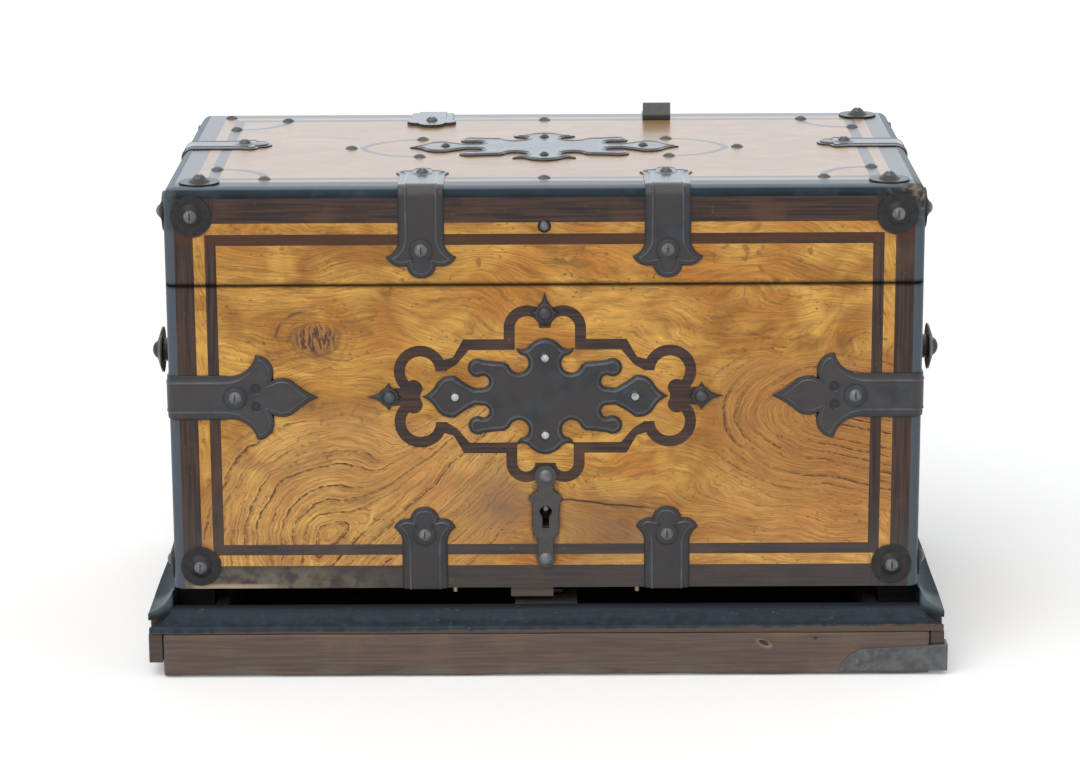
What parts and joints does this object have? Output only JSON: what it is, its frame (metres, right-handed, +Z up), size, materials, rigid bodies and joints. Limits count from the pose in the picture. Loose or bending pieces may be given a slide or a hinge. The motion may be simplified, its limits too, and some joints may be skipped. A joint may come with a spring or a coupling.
{
  "type": "coffer chest",
  "caption": "Iron-bound elm table coffer with a deep hinged lid, drop handles on the ends and a locked drawer hidden in its moulded plinth.",
  "frame": {"origin": "on the table, under the middle of the plinth", "axes": "+X to the right seen from the front, +Y to the back where the hinges are, +Z up"},
  "size_m": [0.388, 0.2273, 0.2475],
  "materials": {
    "carcass_wood": "plain oak boards, unpolished",
    "elm_veneer": "french polished burr and crown cut elm",
    "dark_inlay": "polished dark rosewood banding",
    "edge_strip": "blackened iron, worn bright on the edges",
    "black_iron": "blackened wrought iron, satin",
    "iron_fasteners": "blackened iron screws, washers and studs",
    "lock_steel": "dull steel",
    "plinth_wood": "worn stained plinth boards",
    "moulding_wood": "ebonised moulding",
    "brass": "tarnished brass"
  },
  "bodies": {
    "carcass": {"front_board": "carcass_wood", "back_board": "carcass_wood", "left_board": "carcass_wood", "right_board": "carcass_wood", "floor_board": "carcass_wood", "body_corner_strips": "edge_strip", "body_elm_veneer": "elm_veneer", "body_dark_banding": "dark_inlay", "front_strapwork_inlay": "dark_inlay", "front_mount": "black_iron", "strapwork_bosses": "black_iron", "key_plate": "black_iron", "bottom_strap_left": "black_iron", "bottom_strap_right": "black_iron", "corner_strap_left": "black_iron", "corner_strap_right": "black_iron", "body_boss_washers": "iron_fasteners", "body_screws": "iron_fasteners", "body_studs": "iron_fasteners", "lock_case": "lock_steel", "handle_posts": "black_iron", "hinge_leaves": "black_iron", "hinge_pins": "iron_fasteners", "plinth_left_board": "plinth_wood", "plinth_right_board": "plinth_wood", "plinth_back_board": "plinth_wood", "plinth_mouldings": "moulding_wood", "plinth_bearers": "plinth_wood", "fillet_block": "plinth_wood", "brass_pins": "brass"},
    "lid": {"lid_top_board": "carcass_wood", "lid_front_rail": "carcass_wood", "lid_back_rail": "carcass_wood", "lid_left_rail": "carcass_wood", "lid_right_rail": "carcass_wood", "lid_edge_strips": "edge_strip", "lid_elm_veneer": "elm_veneer", "lid_dark_banding": "dark_inlay", "lid_inlay": "dark_inlay", "lid_mount": "black_iron", "lid_front_strap_left": "black_iron", "lid_front_strap_right": "black_iron", "lid_side_strap_left": "black_iron", "lid_side_strap_right": "black_iron", "hinge_strap_left": "black_iron", "hinge_strap_right": "black_iron", "lid_boss_washers": "iron_fasteners", "lid_screws": "iron_fasteners", "lid_studs": "iron_fasteners"},
    "drawer": {"drawer_front": "plinth_wood", "drawer_moulding": "moulding_wood", "drawer_sides": "carcass_wood", "drawer_back": "carcass_wood", "drawer_bottom": "carcass_wood", "drawer_strike": "lock_steel", "corner_bracket": "black_iron"},
    "lock_bolt": {"lock_bolt": "lock_steel"},
    "bail_left": {"bail_left": "black_iron"},
    "bail_right": {"bail_right": "black_iron"}
  },
  "joints": [
    {"name": "lid_hinge", "type": "hinge", "parent": "carcass", "child": "lid", "pos_m": [0, 0.1045, 0.1917], "axis": [-1, 0, 0], "range_deg": [0, 100]},
    {"name": "drawer_slide", "type": "slide", "parent": "carcass", "child": "drawer", "axis": [0, -1, 0], "range_m": [0, 0.15]},
    {"name": "bolt_slide", "type": "slide", "parent": "carcass", "child": "lock_bolt", "axis": [0, 0, -1], "range_m": [0, 0.008]},
    {"name": "bail_left_hinge", "type": "hinge", "parent": "carcass", "child": "bail_left", "pos_m": [-0.1846, 0, 0.1455], "axis": [0, 1, 0], "range_deg": [0, 95]},
    {"name": "bail_right_hinge", "type": "hinge", "parent": "carcass", "child": "bail_right", "pos_m": [0.1846, 0, 0.1455], "axis": [0, -1, 0], "range_deg": [0, 95]}
  ]
}
